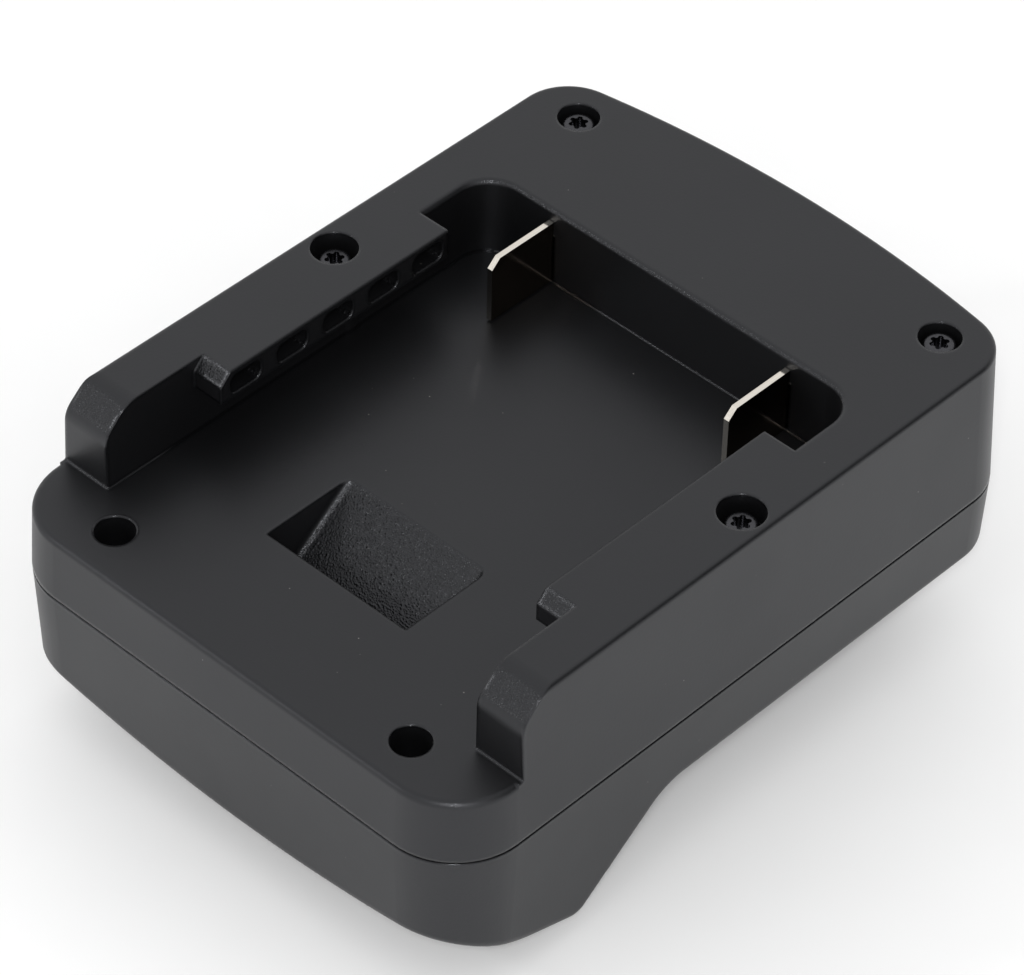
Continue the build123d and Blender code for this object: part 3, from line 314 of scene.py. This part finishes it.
ALONG_Y = (1, 0.06, 1)
ALONG_Z = (1, 1, 0.1)
finishes = {
    # Satin black that a soft light slides over, with glitter on the slopes
    "housing_plastic": moulded_abs("moulded_black_abs", "#060607", "#0b0b0c", lead_in_texture=True),
    # The same plastic, a shade lighter, so that the latch stands out
    "latch_plastic": moulded_abs("moulded_latch_abs", "#0e0e0f", "#141415"),
    # Dull dark grey with a faint glass-fibre mottle
    "insulator_plastic": moulded_insulator("glass_filled_nylon", "#1d1d1f", "#262628",
                                           roughness=0.5, grain_mm=0.5),
    # Bright edges like white lines; the brown-grey of the broad faces is a painted dark reflection
    "plated_blade": worked_metal("nickel_plated_copper", "#d6cfc4", "#f4efe6",
                                 roughness=0.10, streak_mm=0.3, along=ALONG_Y, painted_reflection="#6b5f52"),
    # Dark screws that catch the light on their rims alone
    "housing_screw_steel": worked_metal("black_oxide_steel", "#3c3c3e", "#5a5a5e",
                                        roughness=0.24, streak_mm=0.2),
    # Cool bright grey
    "small_screw_steel": worked_metal("zinc_plated_steel", "#9fa2a6", "#c4c6c9",
                                      roughness=0.32, streak_mm=0.3),
    # Warm yellow with streaks down the bent strip
    "clip_brass": worked_metal("spring_brass", "#b8934e", "#d8b468",
                               roughness=0.3, streak_mm=0.3, along=ALONG_Z),
    # Shiny deep green
    "board_laminate": moulded_insulator("green_solder_mask", "#0c3d20", "#13502c",
                                        roughness=0.3, grain_mm=1.5),
    # Flat black of chip bodies
    "component_black": moulded_insulator("epoxy_moulding_compound", "#121213", "#1b1b1c",
                                         roughness=0.55, grain_mm=0.3),
    # Pale grey with streaks up the can
    "capacitor_can": worked_metal("drawn_aluminium_can", "#b4b6b9", "#d2d3d5",
                                  roughness=0.35, streak_mm=0.3, along=ALONG_Z),
    # Dull rose metal
    "shunt_metal": worked_metal("copper_alloy_strip", "#a0826a", "#c3a88f",
                                roughness=0.35, streak_mm=0.3),
    # Soft waxy sleeves
    "red_insulation": moulded_insulator("red_silicone_sleeve", "#7d1512", "#9b1f1a",
                                        roughness=0.5, grain_mm=0.6),
    "black_insulation": moulded_insulator("black_silicone_sleeve", "#121212", "#1c1c1c",
                                          roughness=0.5, grain_mm=0.6),
    "white_insulation": moulded_insulator("white_silicone_sleeve", "#c6c6c2", "#dcdcd8",
                                          roughness=0.5, grain_mm=0.6),
    # Grey wire with a fine shine
    "spring_steel": worked_metal("drawn_spring_wire", "#85878a", "#b0b2b5",
                                 roughness=0.3, streak_mm=0.2),
}
slot_of = {row["node"]: row["material_slot"] for row in frame["record"]["subparts"]}
for node_name, piece in frame["nodes"].items():
    for slot in piece.material_slots:
        slot.material = finishes[slot_of[node_name]]


# The latch's springs (which shorten towards their fixed upper ends as the button is pressed): a copy of
# their mesh, hung on the housing in place of the imported piece
coils = bpy.data.objects.new("latch_coils", frame["nodes"]["latch_springs"].data.copy())
bpy.context.collection.objects.link(coils)
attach(coils, "housing")
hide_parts("latch_springs")
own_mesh(coils)


# Floor, light and surround
FLOOR_HALF_MM = 1500.0
FIBRE_MM = 24.0
PAPER_ROUGHNESS = 0.9
LIT_POINT_MM = (0, 0, 30)


def floor_sheet():
    """A flat square on the standing plane."""
    corner = FLOOR_HALF_MM * MM
    places = [(-corner, -corner, 0), (corner, -corner, 0), (corner, corner, 0), (-corner, corner, 0)]
    sheet = bpy.data.meshes.new("floor")
    sheet.from_pydata(places, [], [(0, 1, 2, 3)])
    return sheet


def white_paper():
    """Matt white paper with faint clouds of fibre. The clouds are counted over the sheet's width,
    which is twice its half, divided by their size."""
    made, tree, shader, _ = material("white_paper")
    fibre = put(tree, "ShaderNodeTexNoise", {"Scale": 2 * FLOOR_HALF_MM / FIBRE_MM}).outputs["Fac"]
    tone = mix(tree, fibre, colour("#f7f7f7"), colour("#fcfcfc"), "RGBA")
    tree.links.new(tone, shader.inputs["Base Color"])
    shader.inputs["Roughness"].default_value = PAPER_ROUGHNESS
    return made


floor = bpy.data.objects.new("floor", floor_sheet())
bpy.context.collection.objects.link(floor)
floor.data.materials.append(white_paper())


def panel(name, place_mm, width_mm, height_mm, watts):
    """A soft rectangular light that faces the middle of the object."""
    lamp = bpy.data.lights.new(name, "AREA")
    lamp.shape = "RECTANGLE"
    lamp.size = width_mm * MM
    lamp.size_y = height_mm * MM
    lamp.energy = watts
    made = bpy.data.objects.new(name, lamp)
    made.matrix_world = aim(place_mm, Vector(place_mm) - Vector(LIT_POINT_MM), (0, 0, 1))
    bpy.context.collection.objects.link(made)


# Near the camera for the glints on edges, low in front for the slopes, beside for the right face
panel("key_softbox", (440, -500, 680), width_mm=85, height_mm=85, watts=2.7)
panel("front_spot", (-400, -540, 430), width_mm=60, height_mm=60, watts=0.4)
panel("right_softbox", (640, -420, 230), width_mm=260, height_mm=200, watts=0.25)

# White surround. What shines in the object also sees one dark side of the studio, which begins and
# is darkest at these products of the two directions
SURROUND_STRENGTH = 0.90
DARK_SIDE = (0.66, 0.54, 0.48)
DARK_SIDE_SPAN = (0.80, 0.93)
DARK_SIDE_MOST = 0.9
WHITE = (1.0, 1.0, 1.0, 1.0)
BLACK = (0.0, 0.0, 0.0, 1.0)
surround = bpy.data.worlds.new("surround")
surround.use_nodes = True
sky = surround.node_tree
heading = put(sky, "ShaderNodeTexCoord").outputs["Generated"]
toward = put(sky, "ShaderNodeVectorMath", {0: heading, 1: DARK_SIDE}, operation="DOT_PRODUCT")
shade = remap(sky, toward.outputs["Value"], DARK_SIDE_SPAN, high=DARK_SIDE_MOST)
seen = product(sky, shade, put(sky, "ShaderNodeLightPath").outputs["Is Glossy Ray"])
sky.links.new(mix(sky, seen, WHITE, BLACK, "RGBA"), sky.nodes["Background"].inputs["Color"])
sky.nodes["Background"].inputs["Strength"].default_value = SURROUND_STRENGTH
bpy.context.scene.world = surround
